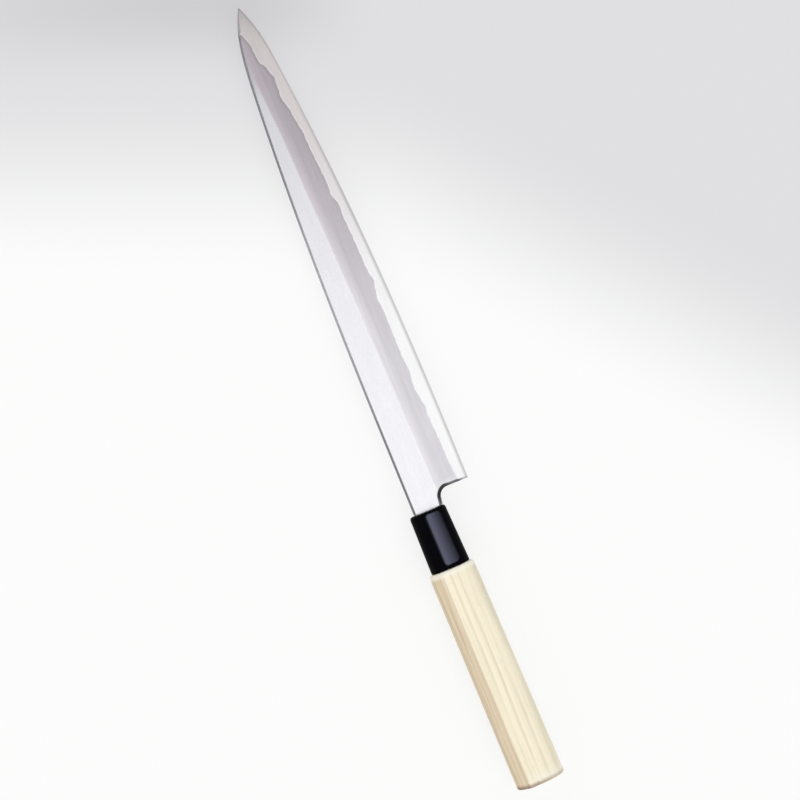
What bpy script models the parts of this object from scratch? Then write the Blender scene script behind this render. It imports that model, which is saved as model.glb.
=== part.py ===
"""Fuguhiki: a long, thin, single-bevel slicing knife with a wooden handle.

The blade is soft iron forge-welded over a sheet of edge steel. Its tang runs through a
horn ferrule and a wooden dowel into the handle, and a resin seal closes the ferrule's mouth.

Lengths are in metres. While it is modelled, the knife lies along X with the tip at +X, the
spine at +Y, the edge at -Y and the bevelled face up. X = 0 is the ferrule's front face, Y = 0
the straight part of the spine, and Z = 0 the flat back of the blade. The finished knife is
then carried to its origin, under the middle of its outline at the height of its lowest point.
"""

import math

import bmesh
import bpy
from mathutils import Matrix, Vector

# Outline of the blade, seen from its bevelled face. Drops and heights are measured from Y = 0.
BLADE_LENGTH = 0.270
HEEL_X = 0.0079
HEEL_HEIGHT = 0.0325
SPINE_BELLY_START = 0.0408
SPINE_BELLY_DROP = 0.0089
TIP_DROP_START = 0.2087
TIP_DROP = 0.0059
TIP_DROP_POWER = 5
EDGE_BELLY = 0.0140
EDGE_SWEEP_START = 0.245
BELLY_POWER = 2.5

# The spine and the edge would meet just past the tip, which is left TIP_LAND short of a point
TIP_LAND = 0.0005
MEETING_X = BLADE_LENGTH + TIP_LAND

# The ridge line where the flat face turns into the bevel
RIDGE_AT_HEEL = 0.0156
RIDGE_AT_TIP = 0.0078
RIDGE_BOW = 0.0008

# Thickness of the blade
SPINE_THICKNESS = 0.0034
RIDGE_THICKNESS_HEEL = 0.0030
RIDGE_THICKNESS_TIP = 0.0015
EDGE_THICKNESS = 0.00015
SPINE_ROUNDING = 0.0008
BACK_CHAMFER = 0.0003

# The shallow hollow ground into the back, with a flat rim left round it
HOLLOW_DEPTH = 0.0003
HOLLOW_RIM = 0.0015
HOLLOW_START = 0.022
HOLLOW_END = 0.252
HOLLOW_FADE = 0.030

# Neck, and the curve that cuts it free of the heel
NECK_HEIGHT = 0.0149
CHOIL_RADIUS = 0.0064
CHOIL_HOLLOW = 0.0008

# Weld between the soft iron and the edge steel. Each wave has a height, a length and a phase,
# and near the tip the weld steps up, away from the edge.
WELD_LINE_FROM_EDGE = 0.0060
WELD_WAVES = (
    (0.00102, 0.1948, -0.87),
    (0.00033, 0.1179, -1.49),
    (0.00022, 0.0390, -1.96),
    (0.00024, 0.0183, 0.98),
    (0.00021, 0.0220, 2.64),
)
WELD_STEP = 0.0018
WELD_STEP_START = 0.2365
WELD_STEP_END = 0.2415
WELD_GAP = 0.00005
STEEL_START = 0.0077

# Tang
TANG_LENGTH = 0.100
TANG_ROOT_HEIGHT = 0.0092
TANG_END_HEIGHT = 0.0050
TANG_ROOT_THICKNESS = 0.0030
TANG_END_THICKNESS = 0.0022

# Handle line: where the handle's axis passes under the spine, and how far the butt is turned
# towards the edge
HANDLE_AXIS_DROP = 0.0070
HANDLE_TURN = math.radians(0.75)

# Horn ferrule
FERRULE_LENGTH = 0.0310
FERRULE_FRONT_HEIGHT = 0.0191
FERRULE_REAR_HEIGHT = 0.0206
FERRULE_FRONT_THICKNESS = 0.0160
FERRULE_REAR_THICKNESS = 0.0168
FERRULE_RIDGE = 0.0040
FERRULE_FRONT_ROUNDING = 0.0013
FERRULE_REAR_ROUNDING = 0.0003

# Wooden handle
HANDLE_LENGTH = 0.1157
HANDLE_FRONT_HEIGHT = 0.0240
HANDLE_BUTT_HEIGHT = 0.0252
HANDLE_FRONT_THICKNESS = 0.0198
HANDLE_BUTT_THICKNESS = 0.0208
HANDLE_RIDGE = 0.0054
HANDLE_SHOULDER_ROUNDING = 0.0017
HANDLE_BUTT_ROUNDING = 0.0010

# The grip's section is an oval with one raised ridge, which stands this far over the oval
RIDGE_STAND = 0.00025
RIDGE_ROUNDING = 0.0009

# Dowel that joins ferrule and handle, and the seal round the tang
DOWEL_DIAMETER = 0.0120
DOWEL_LENGTH = 0.0600
DOWEL_DEPTH_IN_FERRULE = 0.0250
SEAL_WALL = 0.0009
SEAL_DEPTH = 0.0027

# Clearance between neighbouring pieces
FIT = 0.0003

# Fineness of the curved stretches
BLADE_STATION = 0.006
TIP_STATION = 0.002
TIP_STATION_START = 0.205
WELD_STATION = 0.0022
CURVE_STEPS = 8
GRIP_POINTS = 44
BORE_POINTS = 28
HOLLOW_POINTS = 7
ROUNDING_STEPS = 3

# How far a cutter runs past what it cuts
OVERSIZE = 0.010

# Length of the handles that round off a quarter of a circle, as a share of its radius
QUARTER_ROUND = 0.5523


def clear_scene():
    for item in list(bpy.data.objects):
        bpy.data.objects.remove(item, do_unlink=True)


def new_collection(name):
    group = bpy.data.collections.new(name)
    bpy.context.scene.collection.children.link(group)
    return group


def new_empty(name, group, parent=None, location=(0, 0, 0), turn=0.0):
    empty = bpy.data.objects.new(name, None)
    empty.parent = parent
    empty.location = location
    empty.rotation_euler.z = turn
    group.objects.link(empty)
    return empty


def new_object(name, mesh, group, parent=None):
    item = bpy.data.objects.new(name, mesh)
    item.parent = parent
    group.objects.link(item)
    return item


def finish_mesh(name, shape):
    """Closes a bmesh: joins its doubles, turns its faces outwards and makes it a mesh."""
    bmesh.ops.remove_doubles(shape, verts=shape.verts, dist=1e-7)
    bmesh.ops.recalc_face_normals(shape, faces=shape.faces)
    mesh = bpy.data.meshes.new(name)
    shape.to_mesh(mesh)
    shape.free()
    return mesh


def surface(name, colour, roughness, metallic=0.0):
    material = bpy.data.materials.new(name)
    material.use_nodes = True
    shader = material.node_tree.nodes["Principled BSDF"]
    shader.inputs["Base Color"].default_value = (*colour, 1.0)
    shader.inputs["Roughness"].default_value = roughness
    shader.inputs["Metallic"].default_value = metallic
    return material


def dress(item, material, crease=math.radians(30)):
    item.data.materials.clear()
    item.data.materials.append(material)
    item.data.shade_smooth()
    item.data.set_sharp_from_angle(angle=crease)


def as_cutter(item):
    item.hide_render = True
    item.display_type = "WIRE"
    return item


def add_boolean(item, other, operation):
    step = item.modifiers.new(other.name, "BOOLEAN")
    step.operation = operation
    step.object = other


def share(x, start, end):
    """How far x has gone from start to end, from 0 to 1."""
    return min(max((x - start) / (end - start), 0.0), 1.0)


def between(first, last, part):
    return first + (last - first) * part


def ease(part):
    """A smooth rise from 0 to 1."""
    return part * part * (3 - 2 * part)


def spine_drop(x):
    belly = SPINE_BELLY_DROP * share(x, SPINE_BELLY_START, MEETING_X) ** BELLY_POWER
    return belly + TIP_DROP * share(x, TIP_DROP_START, MEETING_X) ** TIP_DROP_POWER


def edge_drop(x):
    sweep = HEEL_HEIGHT - EDGE_BELLY - SPINE_BELLY_DROP - TIP_DROP
    belly = EDGE_BELLY * share(x, HEEL_X, MEETING_X) ** BELLY_POWER
    return HEEL_HEIGHT - belly - sweep * share(x, EDGE_SWEEP_START, MEETING_X) ** 2


def ridge_drop(x):
    part = share(x, HEEL_X, MEETING_X)
    return between(RIDGE_AT_HEEL, RIDGE_AT_TIP, part) + RIDGE_BOW * 4 * part * (1 - part)


def ridge_thickness(x):
    part = share(x, HEEL_X, MEETING_X)
    return between(RIDGE_THICKNESS_HEEL, RIDGE_THICKNESS_TIP, part)


def bevel_slope(x):
    return (ridge_thickness(x) - EDGE_THICKNESS) / (edge_drop(x) - ridge_drop(x))


def top_height(x, drop):
    """Height of the bevelled face over the back, at this drop below Y = 0."""
    ridge = ridge_drop(x)
    if drop >= ridge or ridge <= spine_drop(x):
        return EDGE_THICKNESS + bevel_slope(x) * (edge_drop(x) - drop)
    rise = (SPINE_THICKNESS - RIDGE_THICKNESS_HEEL) * (1 - share(x, HEEL_X, MEETING_X))
    part = (ridge - drop) / (ridge - spine_drop(x))
    return ridge_thickness(x) + rise * part


def weld_height(x):
    from_edge = WELD_LINE_FROM_EDGE
    from_edge += WELD_STEP * ease(share(x, WELD_STEP_START, WELD_STEP_END))
    for height, length, phase in WELD_WAVES:
        from_edge += height * math.sin(2 * math.pi * x / length + phase)
    return EDGE_THICKNESS + bevel_slope(x) * from_edge


def hollow_height(x, part):
    """Depth of the hollow back, where part runs from -1 at one rim to 1 at the other."""
    fade_in = ease(share(x, HOLLOW_START, HOLLOW_START + HOLLOW_FADE))
    fade_out = ease(share(HOLLOW_END - x, 0.0, HOLLOW_FADE))
    return HOLLOW_DEPTH * fade_in * fade_out * (1 - part * part)


def stations(start, end, step):
    count = max(1, math.ceil((end - start) / step - 1e-6))
    return [between(start, end, i / count) for i in range(count + 1)]


def blade_section(x):
    """The blade's outline across its length, once round: rounded spine, ridge, edge, back."""
    spine = spine_drop(x)
    edge = edge_drop(x)
    spine_top = top_height(x, spine)
    span = edge - spine
    rounding = min(SPINE_ROUNDING, spine_top / 3, span / 4)
    chamfer = min(BACK_CHAMFER, spine_top / 4, span / 4)
    points = [(spine + chamfer, 0.0), (spine, chamfer)]
    for i in range(ROUNDING_STEPS + 1):
        angle = math.pi / 2 * i / ROUNDING_STEPS
        drop = spine + rounding * (1 - math.cos(angle))
        points.append((drop, top_height(x, drop) - rounding * (1 - math.sin(angle))))
    ridge = max(ridge_drop(x), spine + 2 * rounding)
    points.append((ridge, top_height(x, ridge)))
    points.append((edge, EDGE_THICKNESS))
    points.append((edge, 0.0))
    rim = min(HOLLOW_RIM, span / 4)
    for i in range(HOLLOW_POINTS + 1):
        part = 1 - 2 * i / HOLLOW_POINTS
        middle = (spine + chamfer + edge) / 2
        half = (edge - spine - chamfer) / 2 - rim
        points.append((middle + half * part, hollow_height(x, part)))
    return [Vector((x, -drop, height)) for drop, height in points]


def loft(name, sections):
    """A closed solid through sections that have the same number of points."""
    shape = bmesh.new()
    rings = [[shape.verts.new(point) for point in section] for section in sections]
    for near, far in zip(rings, rings[1:]):
        for i in range(len(near)):
            j = (i + 1) % len(near)
            shape.faces.new((near[i], near[j], far[j], far[i]))
    shape.faces.new(rings[0])
    shape.faces.new(rings[-1])
    return finish_mesh(name, shape)


def blade_blank(name):
    """The whole blade from neck to tip, before the neck is cut free of the heel."""
    body = stations(FIT, TIP_STATION_START, BLADE_STATION)
    tip = stations(TIP_STATION_START, BLADE_LENGTH, TIP_STATION)
    return loft(name, [blade_section(x) for x in body + tip[1:]])


def weld_block(name, start, lift):
    """Everything under the weld, from start to past the tip. Its top is the weld, moved up by lift."""
    low_y = -HEEL_HEIGHT - OVERSIZE
    sections = []
    for x in stations(start, BLADE_LENGTH + OVERSIZE, WELD_STATION):
        top = weld_height(min(x, BLADE_LENGTH)) + lift
        corners = ((OVERSIZE, -OVERSIZE), (OVERSIZE, top), (low_y, top), (low_y, -OVERSIZE))
        sections.append([Vector((x, y, z)) for y, z in corners])
    return loft(name, sections)


def curve_to_mesh(name, curve_object):
    """The curve's solid as a mesh in world space, with its caps welded on."""
    bpy.context.view_layer.update()
    evaluated = curve_object.evaluated_get(bpy.context.evaluated_depsgraph_get())
    raw = bpy.data.meshes.new_from_object(evaluated)
    raw.transform(curve_object.matrix_world)
    shape = bmesh.new()
    shape.from_mesh(raw)
    bpy.data.meshes.remove(raw)
    bpy.data.objects.remove(curve_object, do_unlink=True)
    return finish_mesh(name, shape)


def choil_outline():
    """Corners of the notch behind the heel, each with the points its curve leaves and enters by."""
    round_handle = CHOIL_RADIUS * QUARTER_ROUND
    wall_x = HEEL_X + CHOIL_HOLLOW
    under_neck = -NECK_HEIGHT
    arc_end = Vector((wall_x - CHOIL_RADIUS, under_neck))
    arc_start = Vector((wall_x, under_neck - CHOIL_RADIUS))
    heel = Vector((HEEL_X, -HEEL_HEIGHT))
    below = Vector((HEEL_X - CHOIL_HOLLOW, -HEEL_HEIGHT - OVERSIZE))
    behind_low = Vector((-OVERSIZE, below.y))
    behind_high = Vector((-OVERSIZE, under_neck))
    bow = Vector((0, (arc_start.y - heel.y) / 3))
    lean = Vector((CHOIL_HOLLOW, (arc_start.y - heel.y) / 3))
    return [
        (behind_high, behind_high, behind_high),
        (behind_low, behind_low, behind_low),
        (below, below, below),
        (heel, heel, heel + lean),
        (arc_start, arc_start - bow, arc_start + Vector((0, round_handle))),
        (arc_end, arc_end + Vector((round_handle, 0)), arc_end),
    ]


def choil_cutter(name):
    curve = bpy.data.curves.new(name, "CURVE")
    curve.dimensions = "2D"
    curve.fill_mode = "BOTH"
    curve.extrude = OVERSIZE
    curve.resolution_u = CURVE_STEPS
    outline = choil_outline()
    spline = curve.splines.new("BEZIER")
    spline.bezier_points.add(len(outline) - 1)
    spline.use_cyclic_u = True
    for point, (place, enter, leave) in zip(spline.bezier_points, outline):
        point.handle_left_type = "FREE"
        point.handle_right_type = "FREE"
        point.co = place.to_3d()
        point.handle_left = enter.to_3d()
        point.handle_right = leave.to_3d()
    item = bpy.data.objects.new(name, curve)
    bpy.context.scene.collection.objects.link(item)
    return curve_to_mesh(name, item)


def grip_section(height, thickness, ridge):
    """The grip's outline: the hull of an oval and of a small circle that makes its ridge.

    Each point is the one that lies furthest out in its own direction. X of a point is across
    the grip towards the spine, and Y is towards the bevelled face.
    """
    half_height = height / 2
    half_thickness = thickness / 2
    ridge_centre = Vector((ridge, half_thickness + RIDGE_STAND - RIDGE_ROUNDING))
    points = []
    for i in range(GRIP_POINTS):
        angle = 2 * math.pi * (i + 0.5) / GRIP_POINTS
        out = Vector((math.cos(angle), math.sin(angle)))
        reach = math.hypot(half_height * out.x, half_thickness * out.y)
        on_oval = Vector((half_height**2 * out.x, half_thickness**2 * out.y)) / reach
        on_ridge = ridge_centre + RIDGE_ROUNDING * out
        points.append(max(on_oval, on_ridge, key=out.dot))
    return points


def grip_bar(name, front_x, length, front, butt, ridge, front_rounding, butt_rounding):
    """A tapered bar with the grip's section and rounded rims, between two flat end faces.

    front and butt are each a height and a thickness.
    """
    places = []
    for i in range(ROUNDING_STEPS + 1):
        angle = math.pi / 2 * i / ROUNDING_STEPS
        back = 1 - math.cos(angle)
        inset = 1 - math.sin(angle)
        places.append((front_rounding * back, front_rounding * inset))
        places.append((length - butt_rounding * back, butt_rounding * inset))
    sections = []
    for distance, inset in sorted(places):
        height = between(front[0], butt[0], distance / length) - 2 * inset
        thickness = between(front[1], butt[1], distance / length) - 2 * inset
        outline = grip_section(height, thickness, ridge - inset * 2 * ridge / height)
        sections.append([Vector((front_x - distance, point.x, point.y)) for point in outline])
    return loft(name, sections)


def bar(name, start, end, root, tail, corner=0.0):
    """A four-sided bar along X. root and tail are its height and thickness at start and end."""
    shape = bmesh.new()
    bmesh.ops.create_cube(shape, size=1.0)
    for vert in shape.verts:
        height, thickness = root if vert.co.x > 0 else tail
        x = start if vert.co.x > 0 else end
        vert.co = Vector((x, height * vert.co.y, thickness * vert.co.z))
    if corner:
        along = [e for e in shape.edges if abs(e.verts[0].co.x - e.verts[1].co.x) > 1e-6]
        bmesh.ops.bevel(
            shape, geom=along, offset=corner, segments=3, profile=0.5, affect="EDGES", material=-1
        )
    return finish_mesh(name, shape)


def tang_bar(name, start, end, clearance):
    """The tang between two places along the handle, thickened all round by a clearance."""

    def size_at(x):
        part = -x / TANG_LENGTH
        height = between(TANG_ROOT_HEIGHT, TANG_END_HEIGHT, part)
        thickness = between(TANG_ROOT_THICKNESS, TANG_END_THICKNESS, part)
        return height + 2 * clearance, thickness + 2 * clearance

    return bar(name, start, end, size_at(start), size_at(end))


def rod(name, start, end, diameter):
    shape = bmesh.new()
    bmesh.ops.create_cone(
        shape,
        cap_ends=True,
        segments=BORE_POINTS,
        radius1=diameter / 2,
        radius2=diameter / 2,
        depth=start - end,
        matrix=Matrix.Translation(((start + end) / 2, 0, 0)) @ Matrix.Rotation(math.pi / 2, 4, "Y"),
    )
    return finish_mesh(name, shape)


def blade_pieces(parts, cutters, knife, handle_line):
    """Cuts one forged blank into its soft iron and its edge steel."""
    tang = as_cutter(
        new_object("tang", tang_bar("tang", STEEL_START / 2, -TANG_LENGTH, 0), cutters, handle_line)
    )
    choil = as_cutter(new_object("choil_notch", choil_cutter("choil_notch"), cutters, knife))
    start = STEEL_START
    room_mesh = weld_block("steel_room", start - WELD_GAP, WELD_GAP / 2)
    room = as_cutter(new_object("steel_room", room_mesh, cutters, knife))
    steel_mesh = weld_block("steel_bounds", start, -WELD_GAP / 2)
    steel_bounds = as_cutter(new_object("steel_bounds", steel_mesh, cutters, knife))

    iron = new_object("soft_iron_body", blade_blank("soft_iron_body"), parts, knife)
    add_boolean(iron, tang, "UNION")
    add_boolean(iron, choil, "DIFFERENCE")
    add_boolean(iron, room, "DIFFERENCE")
    dress(iron, surface("hazed_soft_iron", (0.60, 0.58, 0.61), 0.38, 1.0))

    steel = new_object("edge_steel", blade_blank("edge_steel"), parts, knife)
    add_boolean(steel, choil, "DIFFERENCE")
    add_boolean(steel, steel_bounds, "INTERSECT")
    dress(steel, surface("polished_edge_steel", (0.78, 0.77, 0.77), 0.20, 1.0))


def dowel_front():
    return -FERRULE_LENGTH + DOWEL_DEPTH_IN_FERRULE


def ferrule_piece(parts, cutters, handle_line):
    mesh = grip_bar(
        "ferrule",
        0.0,
        FERRULE_LENGTH,
        (FERRULE_FRONT_HEIGHT, FERRULE_FRONT_THICKNESS),
        (FERRULE_REAR_HEIGHT, FERRULE_REAR_THICKNESS),
        FERRULE_RIDGE,
        FERRULE_FRONT_ROUNDING,
        FERRULE_REAR_ROUNDING,
    )
    ferrule = new_object("ferrule", mesh, parts, handle_line)
    pocket = seal_bar("seal_pocket", OVERSIZE, -SEAL_DEPTH - FIT, SEAL_WALL + 2 * FIT)
    passage = tang_bar("tang_passage", OVERSIZE, -FERRULE_LENGTH, FIT)
    bore_end = dowel_front() + FIT
    bore = rod("ferrule_bore", bore_end, -FERRULE_LENGTH - OVERSIZE, DOWEL_DIAMETER + 2 * FIT)
    for cutter_mesh in (pocket, passage, bore):
        cutter = as_cutter(new_object(cutter_mesh.name, cutter_mesh, cutters, handle_line))
        add_boolean(ferrule, cutter, "DIFFERENCE")
    dress(ferrule, surface("black_horn", (0.010, 0.010, 0.014), 0.22))


def handle_piece(parts, cutters, handle_line):
    front_x = -FERRULE_LENGTH - FIT
    mesh = grip_bar(
        "handle",
        front_x,
        HANDLE_LENGTH,
        (HANDLE_FRONT_HEIGHT, HANDLE_FRONT_THICKNESS),
        (HANDLE_BUTT_HEIGHT, HANDLE_BUTT_THICKNESS),
        HANDLE_RIDGE,
        HANDLE_SHOULDER_ROUNDING,
        HANDLE_BUTT_ROUNDING,
    )
    handle = new_object("handle", mesh, parts, handle_line)
    bore_end = dowel_front() - DOWEL_LENGTH - FIT
    bore = rod("handle_bore", front_x + OVERSIZE, bore_end, DOWEL_DIAMETER + 2 * FIT)
    burnt_in = tang_bar("tang_socket", front_x, -TANG_LENGTH - FIT, FIT)
    for cutter_mesh in (bore, burnt_in):
        cutter = as_cutter(new_object(cutter_mesh.name, cutter_mesh, cutters, handle_line))
        add_boolean(handle, cutter, "DIFFERENCE")
    dress(handle, surface("pale_magnolia_wood", (0.86, 0.74, 0.53), 0.60))


def dowel_piece(parts, cutters, handle_line):
    front = dowel_front()
    mesh = rod("dowel", front, front - DOWEL_LENGTH, DOWEL_DIAMETER)
    dowel = new_object("dowel", mesh, parts, handle_line)
    slot_mesh = tang_bar("dowel_slot", front + FIT, front - DOWEL_LENGTH - FIT, FIT)
    slot = as_cutter(new_object("dowel_slot", slot_mesh, cutters, handle_line))
    add_boolean(dowel, slot, "DIFFERENCE")
    dress(dowel, surface("dowel_wood", (0.76, 0.62, 0.42), 0.70))


def seal_bar(name, start, end, wall):
    """A bar that stands this wall and its clearance outside the tang's root."""
    height = TANG_ROOT_HEIGHT + 2 * (FIT + wall)
    thickness = TANG_ROOT_THICKNESS + 2 * (FIT + wall)
    return bar(name, start, end, (height, thickness), (height, thickness), corner=wall)


def seal_piece(parts, cutters, handle_line):
    seal = new_object(
        "mouth_seal", seal_bar("mouth_seal", 0.0, -SEAL_DEPTH, SEAL_WALL), parts, handle_line
    )
    hole_mesh = tang_bar("seal_hole", OVERSIZE, -SEAL_DEPTH - OVERSIZE, FIT)
    hole = as_cutter(new_object("seal_hole", hole_mesh, cutters, handle_line))
    add_boolean(seal, hole, "DIFFERENCE")
    dress(seal, surface("amber_resin", (0.42, 0.27, 0.11), 0.35))


def carry_to_origin(parts, knife):
    """Moves the knife so that the origin lies under the middle of its outline."""
    bpy.context.view_layer.update()
    graph = bpy.context.evaluated_depsgraph_get()
    corners = []
    for item in parts.objects:
        if item.type == "MESH":
            mesh = item.evaluated_get(graph).to_mesh()
            corners += [item.matrix_world @ vert.co for vert in mesh.vertices]
    low = Vector(min(corner[axis] for corner in corners) for axis in range(3))
    high = Vector(max(corner[axis] for corner in corners) for axis in range(3))
    middle = (low + high) / 2
    knife.location = (-middle.x, -middle.y, -low.z)


def build():
    clear_scene()
    parts = new_collection("fuguhiki_knife")
    cutters = new_collection("cutters")
    knife = new_empty("knife", parts)
    axis = (0, -HANDLE_AXIS_DROP, SPINE_THICKNESS / 2)
    handle_line = new_empty("handle_line", parts, knife, axis, HANDLE_TURN)
    blade_pieces(parts, cutters, knife, handle_line)
    ferrule_piece(parts, cutters, handle_line)
    handle_piece(parts, cutters, handle_line)
    dowel_piece(parts, cutters, handle_line)
    seal_piece(parts, cutters, handle_line)
    carry_to_origin(parts, knife)


build()
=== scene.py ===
"""Fuguhiki knife: builds the finished look of a long, single-bevel slicing knife.

The knife lies along X with its tip at +X, its spine at +Y and its bevelled face up. All sizes
are in metres: x is measured from the ferrule's front face towards the tip, a drop from the line
of the straight spine towards the edge, and a height from the flat back of the blade.
"""

import math

import bmesh
import bpy
from bpy.props import FloatProperty, FloatVectorProperty, PointerProperty
from mathutils import Matrix, Vector
from mathutils.geometry import interpolate_bezier, intersect_point_line


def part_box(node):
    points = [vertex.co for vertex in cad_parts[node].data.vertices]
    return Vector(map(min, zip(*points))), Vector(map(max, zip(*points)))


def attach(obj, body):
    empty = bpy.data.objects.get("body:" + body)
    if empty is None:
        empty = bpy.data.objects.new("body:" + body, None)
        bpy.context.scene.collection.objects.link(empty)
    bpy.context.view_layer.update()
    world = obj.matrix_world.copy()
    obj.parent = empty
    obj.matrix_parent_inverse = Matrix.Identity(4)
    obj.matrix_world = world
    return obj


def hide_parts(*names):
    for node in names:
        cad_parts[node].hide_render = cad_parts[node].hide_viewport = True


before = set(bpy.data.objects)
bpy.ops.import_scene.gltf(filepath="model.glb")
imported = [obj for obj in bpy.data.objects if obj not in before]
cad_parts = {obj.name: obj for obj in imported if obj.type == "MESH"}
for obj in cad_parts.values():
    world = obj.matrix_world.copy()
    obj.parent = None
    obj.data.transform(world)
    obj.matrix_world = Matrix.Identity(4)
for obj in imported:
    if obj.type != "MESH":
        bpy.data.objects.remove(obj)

bl_info = {
    "name": "Fuguhiki knife",
    "version": (1, 0, 0),
    "blender": (4, 5, 0),
    "location": "3D View > Sidebar > Knife",
    "description": "Builds a laminated single-bevel slicing knife with a wooden handle",
    "category": "Add Mesh",
}

IRON_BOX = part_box("soft_iron_body")
STEEL_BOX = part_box("edge_steel")
BLADE_LENGTH = 0.270

# Where the ferrule's front face, the line of the spine and the flat back lie
PLACE = Vector((STEEL_BOX[1].x - BLADE_LENGTH, IRON_BOX[1].y, STEEL_BOX[0].z))

# Outline of the blade. Its spine and its edge would meet TIP_LAND beyond the tip.
TIP_LAND = 0.0005
SPINE_BELLY_START = 0.0408
SPINE_BELLY_DROP = 0.0089
TIP_DROP_START = 0.2087
TIP_DROP = 0.0059
TIP_DROP_POWER = 5
EDGE_BELLY = 0.0140
EDGE_SWEEP_START = 0.245
BELLY_POWER = 2.5

# Ridge between the flat face and the bevel: its drops, and half the width of its soft corner
RIDGE_AT_HEEL = 0.0156
RIDGE_AT_TIP = 0.0078
RIDGE_BOW = 0.0008
RIDGE_SOFTNESS = 0.00016

# Rounded spine: its height beside its width, the most of the blade's thickness that it takes up,
# and how many times its width the blade is high at least
ROLL_PROPORTION = 1.15
ROLL_MOST = 0.42
ROLLS_IN_BLADE = 5

# Weld line. Each wave has a height, a length and a phase, and each bump a height, a place and a
# width. The heights lead away from the edge, and so does the step near the tip. The soft iron and
# the edge steel each keep WELD_SEAM from the weld.
WELD_WAVES = (
    (0.00102, 0.1948, -0.87), (0.00033, 0.1179, -1.49), (0.00009, 0.0063, 0.4),
    (0.00006, 0.0037, 1.9), (0.00004, 0.0021, 0.8),
)
WELD_BUMPS = (
    (0.00043, 0.0197, 0.0065), (-0.00069, 0.0493, 0.0030), (0.00056, 0.0604, 0.0040),
    (-0.00059, 0.0690, 0.0042), (0.00074, 0.1077, 0.0032), (-0.00105, 0.1178, 0.0034),
    (-0.00075, 0.1589, 0.0027), (0.00084, 0.1662, 0.0031), (-0.00050, 0.1998, 0.0052),
    (0.00103, 0.2197, 0.0039), (-0.00095, 0.2309, 0.0035), (-0.00069, 0.2508, 0.0049),
)
WELD_STEP = 0.0018
WELD_STEP_START = 0.2365
WELD_STEP_END = 0.2415
WELD_SEAM = 0.00002

# Where the edge steel starts, and how wide the soft iron is beside its rounded spine where it ends
STEEL_START = 0.0077
LAST_IRON = 0.0003

# Hollow back
HOLLOW_RIM = 0.0015
HOLLOW_START = 0.022
HOLLOW_END = 0.252
HOLLOW_FADE = 0.030

# Neck and choil. The choil's rim and its finer stations lie within CHOIL_ZONE, and QUARTER_ROUND
# gives a Bezier curve the shape of a quarter circle.
NECK_FRONT = 0.0003
NECK_HEIGHT = 0.0156
NECK_FLARE = 0.0005
CHOIL_RADIUS = 0.0050
CHOIL_HOLLOW = 0.0001
CHOIL_ROLL = 0.0020
CHOIL_ZONE = 0.014
QUARTER_ROUND = 0.5523

# Tang: its length, and its height and thickness in the neck and at its end
TANG_LENGTH = 0.100
TANG_ROOT = (0.0092, 0.0030)
TANG_END = (0.0050, 0.0022)

# Handle line: its drop at the ferrule's front face, and its turn from the line of the spine
HANDLE_AXIS_DROP = 0.0070
HANDLE_TURN = math.radians(0.75)

# Dowel, and the pocket of the seal: its height and thickness, its depth and its round corners
DOWEL_DIAMETER = 0.0120
DOWEL_FRONT = -0.0060
DOWEL_END = -0.0660
SEAL_POCKET = (0.0122, 0.0060)
SEAL_DEPTH = 0.0030
SEAL_CORNER = 0.0009

# Gap between pieces, and how far the cutters reach beyond what they cut
FIT = 0.0003
OVERSIZE = 0.010

# Ridges of the grips, each with its distance from the middle, how far it stands proud and its
# rounding, and the roundings of the ferrule's front and rear rims
FERRULE_RIDGE = (0.0041, -0.00058, 0.0012)
HANDLE_RIDGE = (0.0055, 0.0002, 0.0009)
FERRULE_ROUNDINGS = (0.0013, 0.0003)

# Growth rings of the wood: the heart of the tree, from the line of the spine and from the ground
TREE_HEART = (0.050, -0.010)
RING_WIDTH = 0.00346
RING_START = -0.955

# Polished panel on the ferrule: its middle and half its size, along as shares of the ferrule's
# length and across as distances
PANEL_MIDDLE = (0.490, -0.0021)
PANEL_HALF = (0.374, 0.0020)

# Fineness of the meshes: steps along the pieces, counts of points and steps round them, and how
# near points are merged
CHOIL_STEP = 0.00025
BLADE_STEP = 0.0010
TIP_STEP = 0.0005
TIP_STEP_START = 0.200
FERRULE_STEP = 0.0010
HANDLE_STEP = 0.0020
ROLL_STEPS = 7
FLAT_STEPS = 40
BEVEL_STEPS = 42
STEEL_STEPS = 26
HOLLOW_STEPS = 32
SEAT_STEPS = 5
CHOIL_ARC_POINTS = 40
CHOIL_WALL_POINTS = 24
GRIP_POINTS = 176
RIM_STEPS = 9
CORNER_STEPS = 6
ROD_SIDES = 64
MERGE_DISTANCE = 2e-7

# Edges that turn further than this stay sharp
CREASE = math.radians(30)

# How the photograph is taken: the knife's turn in it, the width it shows at the knife's middle
# height, how far above that the camera hangs, and the camera's x and drop
PHOTO_TURN = math.radians(22.2)
PHOTO_WIDTH = 0.402
MID_HEIGHT = 0.0105
CAMERA_DISTANCE = 1.05
CAMERA_X = 0.05677
CAMERA_DROP = 0.01554

# Floor: half its side, how far the border of its painted shade leans, and how much of its look
# shows no shade
FLOOR_REACH = 6.0
FLOOR_LEAN = math.radians(27)
FLOOR_GLOW = 0.78

# Strengths of the lights
ABOVE_GLOW = 1.43
ENDS_GLOW = 0.95
BEHIND_GLOW = 0.65
DIM_GLOW = 0.13


def ease(part):
    """A smooth rise from 0 to 1."""
    return part * part * (3 - 2 * part)


def share(x, start, end):
    """How far x has gone from start to end, from 0 to 1."""
    return min(max((x - start) / (end - start), 0.0), 1.0)


def between(first, last, part):
    return first + (last - first) * part


def evenly(start, end, count):
    """Even places from start to end, both included, with count steps between them."""
    return [between(start, end, i / count) for i in range(count + 1)]


def spread(start, end, step):
    """Even places from start to end, both included, at most a step apart."""
    return evenly(start, end, max(1, math.ceil((end - start) / step - 1e-6)))


def metres(name, description, default):
    return FloatProperty(name=name, description=description, default=default, unit="LENGTH")


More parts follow.
